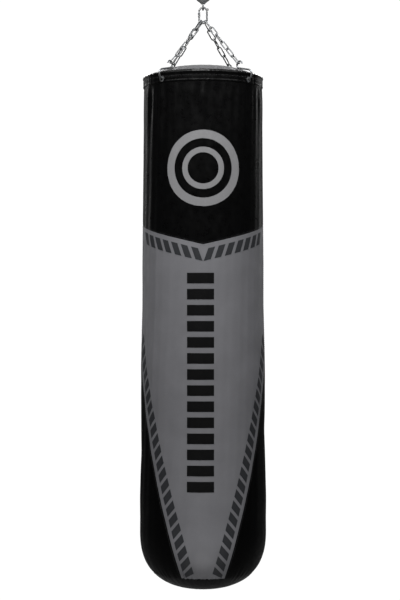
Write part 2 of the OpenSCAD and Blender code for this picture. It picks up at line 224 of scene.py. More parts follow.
def simulate_skin():
    """Fills the sewn skin with pressure. Returns how far each point moved outwards, in mm."""
    s, theta = np.meshgrid(sim_s, sim_theta, indexing="ij")
    start = plain_points(s, theta, -SIM_SHRINK + RNG.normal(0, 0.12, s.shape))
    count = start[..., 0].size
    verts = np.vstack([row_frame(start).reshape(-1, 3),
                       row_frame(np.array([[0, 0, outline_z[-1] + SIM_SHRINK]]))])
    faces = grid_faces(SIM_RINGS, SIM_COLUMNS, True)
    foot = (SIM_RINGS - 1) * SIM_COLUMNS
    faces += [(foot + c, count, foot + (c + 1) % SIM_COLUMNS) for c in range(SIM_COLUMNS)]
    mesh = bpy.data.meshes.new("skin_sim")
    mesh.from_pydata(verts.tolist(), [], faces)
    skin = bpy.data.objects.new("skin_sim", mesh)
    bpy.context.scene.collection.objects.link(skin)
    held = skin.vertex_groups.new(name="held")
    distance = seam_distance(s, theta)
    weight = np.clip(0.75 * np.exp(-(distance / 5) ** 2) + np.exp(-(s / 7) ** 2), 0, 1)
    for index, value in enumerate(weight.ravel()):
        if value > 0.03:
            held.add([index], float(value), "REPLACE")
    cloth = skin.modifiers.new("cloth", "CLOTH")
    cloth.settings.quality = 4
    cloth.settings.mass = 0.5
    cloth.settings.tension_stiffness = 20
    cloth.settings.compression_stiffness = 20
    cloth.settings.shear_stiffness = 8
    cloth.settings.bending_stiffness = 0.6
    cloth.settings.use_pressure = True
    cloth.settings.uniform_pressure_force = 4
    cloth.settings.vertex_group_mass = "held"
    cloth.settings.shrink_min = -0.004
    cloth.settings.effector_weights.gravity = 0
    cloth.collision_settings.use_self_collision = False
    cloth.collision_settings.use_collision = False
    cloth.point_cache.frame_start = 1
    cloth.point_cache.frame_end = SIM_FRAMES
    for step in range(1, SIM_FRAMES + 1):
        bpy.context.scene.frame_set(step)
    graph = bpy.context.evaluated_depsgraph_get()
    result = skin.evaluated_get(graph).to_mesh()
    points = np.empty(len(result.vertices) * 3)
    result.vertices.foreach_get("co", points)
    points = points.reshape(-1, 3)[:count].reshape(SIM_RINGS, SIM_COLUMNS, 3)
    points[..., 2] -= RIM_M
    moved = points / MM - plain_points(s, theta, 0)
    out = plain_points(s, theta, 1) - plain_points(s, theta, 0)
    lift = (moved * out).sum(axis=-1)
    bpy.data.objects.remove(skin)
    bpy.context.scene.frame_set(1)
    lift -= np.median(lift, axis=1, keepdims=True)
    lift *= np.clip(sim_s / 24, 0, 1)[:, None]
    return SIM_KEEP * smoothed(np.clip(lift, -SIM_CAP, SIM_CAP))


skin_lift = simulate_skin()


def sampled_lift(s, theta):
    """The simulated lift between the grid's points."""
    row = np.clip(s / SIM_LENGTH * (SIM_RINGS - 1), 0, SIM_RINGS - 1.001)
    column = (theta % 360) / 360 * SIM_COLUMNS
    r0, c0 = row.astype(int), column.astype(int) % SIM_COLUMNS
    fr, fc = row - r0, column - column.astype(int)
    r1, c1 = r0 + 1, (c0 + 1) % SIM_COLUMNS
    upper = skin_lift[r0, c0] * (1 - fc) + skin_lift[r0, c1] * fc
    lower = skin_lift[r1, c0] * (1 - fc) + skin_lift[r1, c1] * fc
    return upper * (1 - fr) + lower * fr


FLUTE_WAVES = [(int(n), a, p) for n, a, p in zip(
    RNG.integers(9, 46, 11), RNG.uniform(0.25, 0.6, 11), RNG.uniform(0, 2 * np.pi, 11))]


def flutes(theta):
    """A row of uneven folds round the bag, about one high."""
    angle = np.radians(theta)
    return sum(a * np.sin(n * angle + p) for n, a, p in FLUTE_WAVES) / 1.6


def skin_points(s, theta, lift=0.0):
    """Points of the finished leather: outline, simulated swell, gathers and seam grooves."""
    s, theta = np.broadcast_arrays(np.asarray(s, dtype=float), np.asarray(theta, dtype=float))
    distance = seam_distance(s, theta)
    groove = 0.4 * np.exp(-(distance / 2.6) ** 2) + 0.4 * np.exp(-(distance / 16) ** 2)
    gathers = (1.5 * np.exp(-((s - 45) / 70) ** 2) + 0.5) * flutes(theta + s * 0.012)
    gathers = gathers * np.clip(s / 40, 0, 1) * np.clip((FOOT_RUN - s) / 300, 0.25, 1)
    foot = 0.9 * np.exp(-(np.abs(s - FOOT_RUN) / 26) ** 2) * flutes(theta * 2 + 40)
    height = sampled_lift(s, theta) + gathers + foot - groove + lift
    return plain_points(s, theta, height)


# ---------- materials ----------

def node_material(name):
    """A new material, with its node tree and its main shader."""
    made = bpy.data.materials.new(name)
    made.use_nodes = True
    tree = made.node_tree
    shader = next(n for n in tree.nodes if n.type == "BSDF_PRINCIPLED")
    return made, tree, shader


def textured(tree, kind, scale, **values):
    """A 3-D texture node over the object's own coordinates."""
    place = next((n for n in tree.nodes if n.type == "TEX_COORD"), None)
    place = place or tree.nodes.new("ShaderNodeTexCoord")
    made = tree.nodes.new(kind)
    made.inputs["Scale"].default_value = scale
    for key, value in values.items():
        made.inputs[key].default_value = value
    tree.links.new(place.outputs["Object"], made.inputs["Vector"])
    return made


def ramp(tree, source, low, high, start=0.3, end=0.7):
    """Maps a value to a range of greys or colours."""
    made = tree.nodes.new("ShaderNodeValToRGB")
    made.color_ramp.elements[0].position = start
    made.color_ramp.elements[1].position = end
    made.color_ramp.elements[0].color = low
    made.color_ramp.elements[1].color = high
    tree.links.new(source, made.inputs["Fac"])
    return made.outputs["Color"]


def grey(value):
    """A neutral colour with full alpha."""
    return (value, value, value, 1)


def shade_of(colour, factor):
    """A colour made darker or lighter, with full alpha."""
    return tuple(min(1, c * factor) for c in colour) + (1,)


def bump(tree, shader, sources):
    """Chains bumps of (height, strength, distance in metres) into the shader's normal."""
    before = None
    for height, strength, distance in sources:
        made = tree.nodes.new("ShaderNodeBump")
        made.inputs["Strength"].default_value = strength
        made.inputs["Distance"].default_value = distance
        tree.links.new(height, made.inputs["Height"])
        if before:
            tree.links.new(before, made.inputs["Normal"])
        before = made.outputs["Normal"]
    tree.links.new(before, shader.inputs["Normal"])


def leather(name, colour, roughness, contrast=0.12, shine=0.4, grain=0.5):
    """Artificial leather: pebbled grain, pores, a little mottling and uneven polish."""
    made, tree, shader = node_material(name)
    mottle = textured(tree, "ShaderNodeTexNoise", 14, Detail=6, Roughness=0.6)
    dark, light = shade_of(colour, 1 - contrast), shade_of(colour, 1 + contrast)
    tree.links.new(ramp(tree, mottle.outputs["Fac"], dark, light), shader.inputs["Base Color"])
    polish = textured(tree, "ShaderNodeTexNoise", 45, Detail=5, Roughness=0.65)
    rough = ramp(tree, polish.outputs["Fac"], grey(roughness - 0.07), grey(roughness + 0.08))
    tree.links.new(rough, shader.inputs["Roughness"])
    pebbles = textured(tree, "ShaderNodeTexVoronoi", 620, Randomness=0.95)
    pores = textured(tree, "ShaderNodeTexNoise", 1900, Detail=3, Roughness=0.7)
    dents = textured(tree, "ShaderNodeTexNoise", 60, Detail=4, Roughness=0.5)
    bump(tree, shader, [(dents.outputs["Fac"], 0.18, 0.0012),
                        (pebbles.outputs["Distance"], grain, 0.00028),
                        (pores.outputs["Fac"], 0.3, 0.0001)])
    shader.inputs["Specular IOR Level"].default_value = shine
    return made


def printed(name, colour, roughness):
    """Screen-printed ink over the grain, a touch worn."""
    made, tree, shader = node_material(name)
    wear = textured(tree, "ShaderNodeTexNoise", 260, Detail=8, Roughness=0.7)
    worn = tuple(min(1, c * 1.25 + 0.002) for c in colour) + (1,)
    shade = ramp(tree, wear.outputs["Fac"], colour + (1,), worn, 0.52, 0.8)
    tree.links.new(shade, shader.inputs["Base Color"])
    rough = ramp(tree, wear.outputs["Fac"], grey(roughness - 0.05), grey(roughness + 0.1))
    tree.links.new(rough, shader.inputs["Roughness"])
    pebbles = textured(tree, "ShaderNodeTexVoronoi", 620, Randomness=0.95)
    bump(tree, shader, [(pebbles.outputs["Distance"], 0.35, 0.0002)])
    shader.inputs["Specular IOR Level"].default_value = 0.25
    return made


def zinc(name, colour, roughness, metal=0.8):
    """Bright zinc plate: soft mottled polish, faint blue and straw tints, small dings."""
    made, tree, shader = node_material(name)
    shader.inputs["Metallic"].default_value = metal
    tint = textured(tree, "ShaderNodeTexNoise", 90, Detail=4, Roughness=0.6)
    cool = (colour[0] * 0.93, colour[1] * 0.98, colour[2] * 1.03, 1)
    warm = (colour[0] * 1.03, colour[1], colour[2] * 0.94, 1)
    tree.links.new(ramp(tree, tint.outputs["Fac"], cool, warm), shader.inputs["Base Color"])
    polish = textured(tree, "ShaderNodeTexNoise", 420, Detail=5, Roughness=0.7)
    rough = ramp(tree, polish.outputs["Fac"], grey(roughness - 0.05), grey(roughness + 0.08))
    tree.links.new(rough, shader.inputs["Roughness"])
    dings = textured(tree, "ShaderNodeTexNoise", 260, Detail=3, Roughness=0.5)
    bump(tree, shader, [(dings.outputs["Fac"], 0.12, 0.0002)])
    return made


def woven(name, colour, scale=900):
    """Woven thread or tape."""
    made, tree, shader = node_material(name)
    place = tree.nodes.new("ShaderNodeTexCoord")
    bands = []
    for direction in ("X", "Y"):
        wave = tree.nodes.new("ShaderNodeTexWave")
        wave.bands_direction = direction
        wave.inputs["Scale"].default_value = scale
        wave.inputs["Distortion"].default_value = 0.6
        tree.links.new(place.outputs["Object"], wave.inputs["Vector"])
        bands.append((wave.outputs["Fac"], 0.35, 0.0002))
    lint = textured(tree, "ShaderNodeTexNoise", 300, Detail=5)
    low, high = shade_of(colour, 0.75), shade_of(colour, 1.3)
    tree.links.new(ramp(tree, lint.outputs["Fac"], low, high), shader.inputs["Base Color"])
    shader.inputs["Roughness"].default_value = 0.85
    shader.inputs["Sheen Weight"].default_value = 0.1
    bump(tree, shader, bands)
    return made


def moulded(name, colour, roughness):
    """Moulded plastic or foam with a fine texture."""
    made, tree, shader = node_material(name)
    fine = textured(tree, "ShaderNodeTexNoise", 1400, Detail=4, Roughness=0.6)
    broad = textured(tree, "ShaderNodeTexNoise", 60, Detail=3)
    low, high = shade_of(colour, 0.85), shade_of(colour, 1.12)
    tree.links.new(ramp(tree, broad.outputs["Fac"], low, high), shader.inputs["Base Color"])
    rough = ramp(tree, fine.outputs["Fac"], grey(roughness - 0.06), grey(roughness + 0.08))
    tree.links.new(rough, shader.inputs["Roughness"])
    bump(tree, shader, [(fine.outputs["Fac"], 0.3, 0.0002)])
    return made


BLACK_LEATHER = leather("black_leather", (0.0009, 0.0009, 0.001), 0.31, 0.2, grain=0.28, shine=0.2)
# A darker, duller copy of the black leather for the side panels: painted shade on the lower half of
# the bag, which gets less light.
SHADED_GUSSET_LEATHER = leather("gusset_leather_painted_shade", (0.0005, 0.0005, 0.0006), 0.42, 0.2, grain=0.28,
                         shine=0.08)
GREY_LEATHER = leather("grey_leather", (0.150, 0.150, 0.160), 0.47, 0.07, grain=0.5)
LID_LEATHER = leather("lid_leather", (0.085, 0.085, 0.088), 0.62, 0.08, shine=0.12, grain=0.5)
DASH_INK = printed("dash_ink", (0.024, 0.025, 0.028), 0.5)
BLACK_INK = printed("black_ink", (0.0012, 0.0012, 0.0014), 0.42)
EMBLEM_INK = printed("emblem_ink", (0.195, 0.195, 0.2), 0.45)
BLACK_THREAD = woven("black_thread", (0.008, 0.008, 0.009), 1500)
GREY_THREAD = woven("grey_thread", (0.10, 0.10, 0.105), 1500)
ZINC = zinc("zinc", (0.19, 0.193, 0.198), 0.42)
# A lighter, less metallic copy of the zinc for the swivel housing, cap and clevis: painted light, so
# they look lit where they would reflect the dim world below.
LIT_ZINC = zinc("zinc_painted_light", (0.36, 0.365, 0.37), 0.43, metal=0.65)
BEARING = zinc("bearing_steel", (0.68, 0.69, 0.71), 0.16)
BRASS = zinc("cage_brass", (0.78, 0.6, 0.3), 0.32)
HOOP = zinc("hoop_steel", (0.36, 0.36, 0.37), 0.45)
TAPE = woven("zip_tape", (0.018, 0.018, 0.02))
TOOTH = moulded("zip_tooth", (0.03, 0.03, 0.032), 0.35)
FOAM = moulded("foam", (0.72, 0.68, 0.55), 0.9)
STUFFING = woven("stuffing", (0.42, 0.38, 0.36), 240)


# ---------- making pieces ----------

def add_piece(name, points, faces, material):
    """A mesh piece from points in millimetres above the rim, riding on the bag."""
    mesh = bpy.data.meshes.new(name)
    mesh.from_pydata(row_frame(points).reshape(-1, 3).tolist(), [], faces)
    mesh.materials.append(material)
    made = bpy.data.objects.new(name, mesh)
    bpy.context.scene.collection.objects.link(made)
    fix = bmesh.new()
    fix.from_mesh(mesh)
    bmesh.ops.remove_doubles(fix, verts=fix.verts, dist=2e-6)
    bmesh.ops.dissolve_degenerate(fix, edges=fix.edges, dist=1e-6)
    bmesh.ops.recalc_face_normals(fix, faces=fix.faces)
    for edge in fix.edges:
        edge.smooth = not edge.is_boundary       # so a cut edge is not shaded as if rolled
    fix.to_mesh(mesh)
    fix.free()
    for face in mesh.polygons:
        face.use_smooth = True
    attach(made, "bag")
    return made


def thicken(piece, thickness_mm):
    """Gives a sheet its thickness, inwards."""
    solid = piece.modifiers.new("thickness", "SOLIDIFY")
    solid.thickness = thickness_mm * MM
    solid.offset = -1


def eased(count, near):
    """From 0 to 1 with the points closer together at both ends."""
    even = np.linspace(0, 1, count)
    return (1 - near) * even + near * (1 - np.cos(np.pi * even)) / 2


def sewn_panel(name, node, s, theta, material):
    """A piece of leather over a grid of places on the bag, in place of a CAD node."""
    rows, columns = s.shape
    points = skin_points(s, theta)
    made = add_piece(name, points, grid_faces(rows, columns, False), material)
    outward = np.array(points[rows // 2, columns // 2])
    centre = made.data.polygons[(rows // 2) * (columns - 1) + columns // 2]
    if np.dot(np.array(centre.normal)[:2], outward[:2]) < 0:
        made.data.flip_normals()
    thicken(made, LEATHER_T)
    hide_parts(node)


# ---------- leather panels ----------

FACES = {"front": 0, "back": 180}

for face, middle in FACES.items():
    across, down = eased(121, 0.15), eased(75, 0.3)
    angle = (across * 180 - 90)[None, :] + np.zeros((len(down), 1))
    sewn_panel(f"top_leather_{face}", f"top_panel_{face}", run_at(vee_z(angle)) * down[:, None],
               angle + middle, BLACK_LEATHER)

    down = eased(165, 0.2)
    u = (across * 2 - 1)[None, :] + np.zeros((len(down), 1))
    z = vee_z(u * 90) + (-FOOT_SEAM - vee_z(u * 90)) * down[:, None]
    sewn_panel(f"middle_leather_{face}", f"middle_panel_{face}", run_at(z),
               u * panel_angle(z) + middle, GREY_LEATHER)

for side, middle in {"right": 90, "left": 270}.items():
    down, across = eased(130, 0.2), eased(75, 0.25)
    z = (APEX_Z + (-FOOT_SEAM - APEX_Z) * down)[:, None] + np.zeros((1, len(across)))
    reach = 90 - panel_angle(z)
    theta = middle + reach * (across * 2 - 1)[None, :]
    # The side panels take the darker leather copy, which is painted shade.
    sewn_panel(f"side_leather_{side}", f"side_panel_{side}", run_at(z), theta,
               SHADED_GUSSET_LEATHER)

DISC_ROWS, DISC_COLUMNS = 34, 180
inward = eased(DISC_ROWS, 0.3)[:, None]
ring_s = FOOT_RUN + (SKIN_LENGTH - FOOT_RUN) * inward + np.zeros((1, DISC_COLUMNS))
ring_theta = np.arange(DISC_COLUMNS)[None, :] * 360 / DISC_COLUMNS + np.zeros((DISC_ROWS, 1))
disc_points = skin_points(ring_s, ring_theta)
disc_points[-1] = disc_points[-2:].mean(axis=(0, 1))
disc = add_piece("bottom_leather", disc_points, grid_faces(DISC_ROWS, DISC_COLUMNS, True),
                 BLACK_LEATHER)
thicken(disc, LEATHER_T)
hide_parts("bottom_disc")


# ---------- prints ----------

PRINT_LIFT = 0.4


def print_patch(corners, columns, rows):
    """Grid of a printed quad. Corners are (across, height) on the flat leather, in order."""
    u, v = np.meshgrid(np.linspace(0, 1, columns), np.linspace(0, 1, rows))
    a, b, c, d = (np.array(p, dtype=float) for p in corners)
    u, v = u[..., None], v[..., None]
    flat = a * (1 - u) * (1 - v) + b * u * (1 - v) + c * u * v + d * (1 - u) * v
    lift = np.full(flat.shape[:2], PRINT_LIFT)
    return flat[..., 0], flat[..., 1], lift


def join_patches(name, patches, middle, material):
    """One piece of several printed grids on a face of the bag, each with its edge tucked in."""
    points, faces = [], []
    for across, z, lift in patches:
        base = len(points)
        rows, columns = across.shape
        s = run_at(z)
        theta = np.degrees(across / radius_at_run(s)) + middle
        grid = skin_points(s, theta, lift)
        under = skin_points(s, theta, lift - 0.5)
        round_piece = np.allclose(grid[:, 0], grid[:, -1])
        if round_piece:
            edges = [[(r, c) for c in range(columns)] for r in (0, rows - 1)]
        else:
            edge = [(0, c) for c in range(columns)] + [(r, columns - 1) for r in range(1, rows)]
            edge += [(rows - 1, c) for c in range(columns - 2, -1, -1)]
            edges = [edge + [(r, 0) for r in range(rows - 2, 0, -1)]]
        points.extend(grid.reshape(-1, 3).tolist())
        faces += [tuple(base + i for i in f) for f in grid_faces(rows, columns, False)]
        for edge in edges:
            skirt = len(points)
            points.extend(under[r, c].tolist() for r, c in edge)
            for i, (r, c) in enumerate(edge):
                j = (i + 1) % len(edge)
                p, q = base + r * columns + c, base + edge[j][0] * columns + edge[j][1]
                faces.append((p, q, skirt + j, skirt + i))
    made = add_piece(name, np.array(points), faces, material)
    for face in made.data.polygons:
        out = np.array(face.center)[:2]
        face.use_smooth = bool(abs(np.array(face.normal)[:2] @ out) > 0.8 * np.linalg.norm(out))
    return made


DASH_W, DASH_H, DASH_PITCH, DASH_SLANT, DASH_INSET = 20, 33, 30.5, 13, 14
DASH_RISE = 0.00007                # the dashes come a little nearer to the seam at the sides
SIDE_DASH_W, SIDE_DASH_H, SIDE_DASH_PITCH, SIDE_DASH_RISE, SIDE_DASH_INSET = 32, 21.5, 31.2, 27, 10
SIDE_DASH_DRIFT = 0.015
SIDE_DASH_START = -FOOT_SEAM - 8.5         # the lowest one is cut off by the foot seam
DASH_START, DASHES_ACROSS = 1.5, 7
VEE_R = 176                                # the bag's radius at the vee seam


def vee_dashes(side):
    """Slanting dashes under the vee seam."""
    for k in range(DASHES_ACROSS):
        near = DASH_START + DASH_PITCH * k
        quad = []
        for x, drop in ((near + DASH_SLANT, 0), (near + DASH_SLANT + DASH_W, 0),
                        (near + DASH_W, DASH_H), (near, DASH_H)):
            seam_z = float(vee_z(np.degrees(min(x / VEE_R, math.pi / 2))))
            quad.append((side * x, seam_z - DASH_INSET + DASH_RISE * x ** 2 - drop))
        yield print_patch(quad, 7, 9)


def edge_dashes(side):
    """Dashes that follow the tapering edge, from the foot seam up round the side.
    Known fault: the gathers at the foot stand about 1 mm through the lowest one."""
    def edge_x(z):
        return PANEL_FOOT + (PANEL_FLARE - SIDE_DASH_DRIFT) * (z + FOOT_SEAM) - SIDE_DASH_INSET
    z = SIDE_DASH_START
    while z < APEX_Z - 20:
        quad = []
        for inward, height in ((0, 0), (SIDE_DASH_W, SIDE_DASH_RISE),
                               (SIDE_DASH_W, SIDE_DASH_RISE + SIDE_DASH_H), (0, SIDE_DASH_H)):
            level = max(z + height, -FOOT_SEAM + 2)
            quad.append((side * (edge_x(level) - inward), level))
        yield print_patch(quad, 7, 7)
        z += SIDE_DASH_PITCH


def ring_patch(low, high, centre_z, columns=96, rows=10):
    """A ring or a dot on the flat leather."""
    radius, turn_angle = np.meshgrid(np.linspace(low, high, rows),
                                     np.linspace(0, 2 * np.pi, columns), indexing="ij")
    return (radius * np.cos(turn_angle), centre_z + radius * np.sin(turn_angle),
            np.full(radius.shape, PRINT_LIFT))


EMBLEM_Z = -281
TARGET_RINGS = ((84, 108), (44, 60))
BARS, BAR_SHARE = 14, 0.66                 # each bar's share of its pitch
BAR_TOP_Z, BAR_FOOT_Z, BAR_LEFT, BAR_RIGHT = -577, -1212, -46, 31

for face, middle in FACES.items():
    dashes = [p for side in (-1, 1) for p in vee_dashes(side)]
    dashes += [p for side in (-1, 1) for p in edge_dashes(side)]
    join_patches(f"printed_dashes_{face}", dashes, middle, DASH_INK)
    target = [ring_patch(low, high, EMBLEM_Z) for low, high in TARGET_RINGS]
    join_patches(f"printed_target_{face}", target, middle, EMBLEM_INK)
    pitch = (BAR_TOP_Z - BAR_FOOT_Z) / BARS
    bars = []
    for k in range(BARS):
        top = BAR_TOP_Z - pitch * k
        low = top - pitch * BAR_SHARE
        bars.append(print_patch(((BAR_LEFT, top), (BAR_RIGHT, top), (BAR_RIGHT, low),
                                 (BAR_LEFT, low)), 14, 7))
    join_patches(f"printed_bars_{face}", bars, middle, BLACK_INK)


# ---------- stitching ----------

STITCH_PITCH, STITCH_L, STITCH_R = 6.0, 4.4, 0.55
STITCH_SHAPE = ((-0.5, 0.3, -0.9), (-0.3, 1.0, -0.1), (0.3, 1.0, -0.1), (0.5, 0.3, -0.9))
STITCH_SIDES = 6


def stitches(name, lines, material):
    """Short raised stitches along lines of points, each line with its outward directions."""
    points, faces = [], []
    for line, out in lines:
        length = np.concatenate([[0], np.cumsum(np.linalg.norm(np.diff(line, axis=0), axis=1))])
        places = np.arange(STITCH_PITCH / 2, length[-1], STITCH_PITCH)
        for place in places:
            def at(values, where):
                return np.array([np.interp(where, length, values[:, k]) for k in range(3)])
            middle, normal = at(line, place), at(out, place)
            along = at(line, min(place + 1, length[-1])) - at(line, max(place - 1, 0))
            along /= np.linalg.norm(along)
            normal -= along * (normal @ along)
            normal /= np.linalg.norm(normal)
            across = np.cross(along, normal)
            base = len(points)
            n = STITCH_SIDES
            for reach, size, rise in STITCH_SHAPE:
                centre = middle + along * reach * STITCH_L + normal * rise * STITCH_R
                for k in range(n):
                    a = 2 * math.pi * k / n
                    spoke = math.cos(a) * normal + math.sin(a) * across
                    points.append(centre + STITCH_R * size * spoke)
            last_ring = len(STITCH_SHAPE) - 1
            for ring in range(last_ring):
                for k in range(n):
                    p, q = base + ring * n + k, base + ring * n + (k + 1) % n
                    faces.append((p, q, q + n, p + n))
            faces.append(tuple(base + k for k in range(n)))
            faces.append(tuple(base + last_ring * n + k for k in reversed(range(n))))
    return add_piece(name, np.array(points), faces, material)


def skin_line(s, theta):
    """A line on the leather, with its outward directions."""
    line = skin_points(s, theta, 0.1)
    return line, skin_points(s, theta, 1.1) - line


vee_lines, edge_lines, side_lines = [], [], []
sweep = np.linspace(0, 360, 721)
vee_lines.append(skin_line(run_at(vee_z(sweep) + 4), sweep))
vee_low = [skin_line(run_at(vee_z(sweep) - 4), sweep)]
for middle in FACES.values():
    for side in (-1, 1):
        z = np.linspace(-FOOT_SEAM + 2, APEX_Z + 12, 260)
        shift = np.degrees(4.5 / radius_at_run(run_at(z)))
        edge_lines.append(skin_line(run_at(z), middle + side * (panel_angle(z) - shift)))
        side_lines.append(skin_line(run_at(z)[:-16], middle + side * (panel_angle(z) + shift)[:-16]))
for side in (90, 270):
    for shift in (-1.4, 1.4):
        upper_s = np.linspace(12, float(run_at(vee_z(90))) - 6, 200)
        side_lines.append(skin_line(upper_s, np.full(200, side + shift)))
        lower_s = np.linspace(float(run_at(vee_z(90))) + 6, float(run_at(APEX_Z)) - 8, 120)
        edge_lines.append(skin_line(lower_s, np.full(120, side + shift)))
side_lines.append(skin_line(np.full(721, FOOT_RUN + 4.5), sweep))

stitches("vee_stitches_top", vee_lines, BLACK_THREAD)
stitches("vee_stitches_low", vee_low, GREY_THREAD)
stitches("edge_stitches", edge_lines, GREY_THREAD)
stitches("side_stitches", side_lines, BLACK_THREAD)


# ---------- rim hem ----------

HOOP_WIRE_R = 5
HOOP_R = (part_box("rim_hoop")[1][0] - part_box("rim_hoop")[0][0]) / 2 / MM - HOOP_WIRE_R
HEM_FOLD_R = 7                             # of the hem's bump round the hoop
HEM_COLUMNS = 480
HEM_INNER_R, HEM_OUTER_R = 171.6, 174.7
HEM_STITCHES_Z = (-16.5, -32.5)
EYELET_ANGLES = np.radians([YOKE_TURN + 90 * k for k in range(4)])
EYELET_HOLE_R, STITCH_CLEARANCE = 6.4, 10


def hem_profile():
    """The folded hem in section: round the hoop, then down both plies to the stitched edge."""
    points = [(HEM_INNER_R, -HEM_H)]
    points += [(HEM_INNER_R, z) for z in np.arange(-HEM_H + 1.5, -13.4, 1.5)]
    points += [(HOOP_R + HEM_FOLD_R * math.cos(a), -HEM_FOLD_R + HEM_FOLD_R * math.sin(a))
               for a in np.radians(np.arange(285, -44, -10))]
    outer = np.arange(-13.2, -HEM_H, -1.2)
    swell = 0.7 * np.exp(-((outer + 31) / 2.6) ** 2) + 0.25 * np.exp(-((outer + 22) / 4) ** 2)
    points += [(HEM_OUTER_R + b, z) for b, z in zip(swell, outer)]
    points += [(174.6, -HEM_H), (173.2, -HEM_H - 0.6)]
    return np.array(points)


hem = hem_profile()
hem_theta = np.arange(HEM_COLUMNS) * 360 / HEM_COLUMNS
hem_r = hem[:, :1] + np.zeros((1, HEM_COLUMNS))
loose = np.clip(np.hypot(hem[:, 0] - HOOP_R, hem[:, 1] + HEM_FOLD_R) / 9, 0.35, 1.2)[:, None]
pucker = sum(a * np.sin(n * np.radians(hem_theta) + p)
             for n, a, p in ((23, 0.22, 0.4), (41, 0.2, 2.0), (67, 0.16, 1.1), (88, 0.12, 5.0)))
outer_side = (hem[:, 0] > HOOP_R)[:, None]
hem_r = hem_r + np.where(outer_side, 1, -0.5) * loose * pucker[None, :]
hem_z = hem[:, 1:] + 0.35 * np.clip((hem[:, 1:] + 20) / 20, 0, 1) * pucker[None, :]
angle = np.radians(hem_theta)[None, :]
hem_points = np.stack([hem_r * np.sin(angle), -hem_r * np.cos(angle), hem_z], axis=-1)


def near_eyelet(points):
    """True where a face's middle lies within an eyelet's flange."""
    hit = np.zeros(points.shape[:-1], dtype=bool)
    for turned in EYELET_ANGLES:
        out = np.array([math.cos(turned), math.sin(turned)])
        along = points[..., :2] @ out
        across = points[..., :2] @ np.array([-out[1], out[0]])
        reach = np.hypot(across, points[..., 2] - EYELET_Z)
        hit |= (along > 0) & (reach < EYELET_HOLE_R)
    return hit


flat_points = hem_points.reshape(-1, 3)
hem_faces = grid_faces(len(hem), HEM_COLUMNS, True)
middles = flat_points[np.array(hem_faces)].mean(axis=1)
hem_faces = [f for f, hit in zip(hem_faces, near_eyelet(middles)) if not hit]
hem_piece = add_piece("hem_leather", flat_points, hem_faces, BLACK_LEATHER)
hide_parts("rim_hem")


def hem_line(z, lift):
    """A line round the hem's outside at one height."""
    row = int(np.argmin(np.where(outer_side[:, 0], np.abs(hem[:, 1] - z), 1e3)))
    ring = hem_points[row]
    out = ring * [1, 1, 0]
    out = out / np.linalg.norm(out, axis=1, keepdims=True)
    closed = np.vstack([ring + out * lift, ring[:1] + out[:1] * lift])
    return closed, np.vstack([out, out[:1]])


def clear_of_eyelets(line, out):
    """Splits a ring of points where it passes an eyelet, so that no stitch crosses one."""
    runs, current = [], []
    for k, point in enumerate(line):
        blocked = False
        for turned in EYELET_ANGLES:
            aim = np.array([math.cos(turned), math.sin(turned)])
            across = point[:2] @ np.array([-aim[1], aim[0]])
            blocked |= point[:2] @ aim > 0 and abs(across) < STITCH_CLEARANCE
        if blocked:
            if len(current) > 3:
                runs.append(current)
            current = []
        else:
            current.append(k)
    runs.append(current)
    return [(line[r], out[r]) for r in runs if len(r) > 3]


hem_stitch_lines = []
for z in HEM_STITCHES_Z:
    hem_stitch_lines += clear_of_eyelets(*hem_line(z, 0.2))
stitches("hem_stitches", hem_stitch_lines, BLACK_THREAD)


# ---------- lid ----------

LID_TOP, LID_FLAT_R = 25.5, 98
LID_EDGE_R, LID_EDGE_Z = 150, -8
LID_FOOT_R, LID_FOOT_Z = 171.2, -36
ZIP_HALF, SLOT_HALF = 94, 6.8
HOOK_END_R = 141.8                         # how far out the S-hooks' upper ends are
HOLLOW_DEPTH = 8.5                         # of the lid under each of them
LID_T = 1.3
ZIP_STITCH_OFF = 4.0


def lid_height(r):
    """Height of the domed lid at a distance from the axis."""
    along = np.clip((r - LID_FLAT_R) / (LID_EDGE_R - LID_FLAT_R), 0, 1)
    return LID_EDGE_Z + (LID_TOP - LID_EDGE_Z) * np.sqrt(np.clip(1 - along ** 2, 0, 1))


def lid_outline():
    """Radius and height along the lid, from its middle to its sewn foot."""
    radius = np.concatenate([np.linspace(0, LID_FLAT_R, 36)[:-1],
                             LID_FLAT_R + (LID_EDGE_R - LID_FLAT_R)
                             * np.sin(np.radians(np.linspace(0, 90, 30)))])
    height = lid_height(radius)
    down = np.linspace(0, 1, 12)[1:]
    radius = np.concatenate([radius, LID_EDGE_R + 16.5 * down ** 1.15, [LID_FOOT_R]])
    height = np.concatenate([height, LID_EDGE_Z + (LID_FOOT_Z - LID_EDGE_Z) * down, [LID_FOOT_Z]])
    return radius, height


def lid_points(radius, height, theta):
    """The lid's surface with its tension folds, puffed top and hollows under the hooks."""
    folds = flutes(theta + 13)
    shoulder = np.clip((radius - 62) / (LID_EDGE_R - 62), 0, 1)
    low_dome = LID_EDGE_Z + (LID_TOP - LID_EDGE_Z) * np.sqrt(1 - shoulder ** 2)
    x, y = radius * np.cos(np.radians(theta)), radius * np.sin(np.radians(theta))
    over_zip = np.exp(-(y / 22) ** 2) * np.clip((104 - np.abs(x)) / 12, 0, 1)
    height = height - (lid_height(radius) - low_dome) * (1 - over_zip)
    rim_pull = np.clip((radius - 60) / 90, 0, 1)
    tucked = np.clip((LID_FOOT_R - radius) / 12, 0, 1)
    height = height + (1.5 * folds * rim_pull ** 2 - 0.8 * rim_pull) * tucked
    height = height - (1 - np.clip(radius / 70, 0, 1)) * tucked
    for turned in EYELET_ANGLES:
        turn_angle = np.radians(theta) - turned
        along = radius * np.cos(turn_angle) - HOOK_END_R + 2
        across = radius * np.sin(turn_angle)
        hollow = np.exp(-(along / 17) ** 2 - (across / 13) ** 2)
        height = height - HOLLOW_DEPTH * hollow * tucked
    angle = np.radians(theta)
    return np.stack([radius * np.cos(angle), radius * np.sin(angle), height], axis=-1)


def zip_opening(x):
    """Half width of the slot that the zip shows through."""
    return SLOT_HALF * np.sqrt(np.clip((ZIP_HALF - np.abs(x)) / 3, 0, 1)) + 0.15


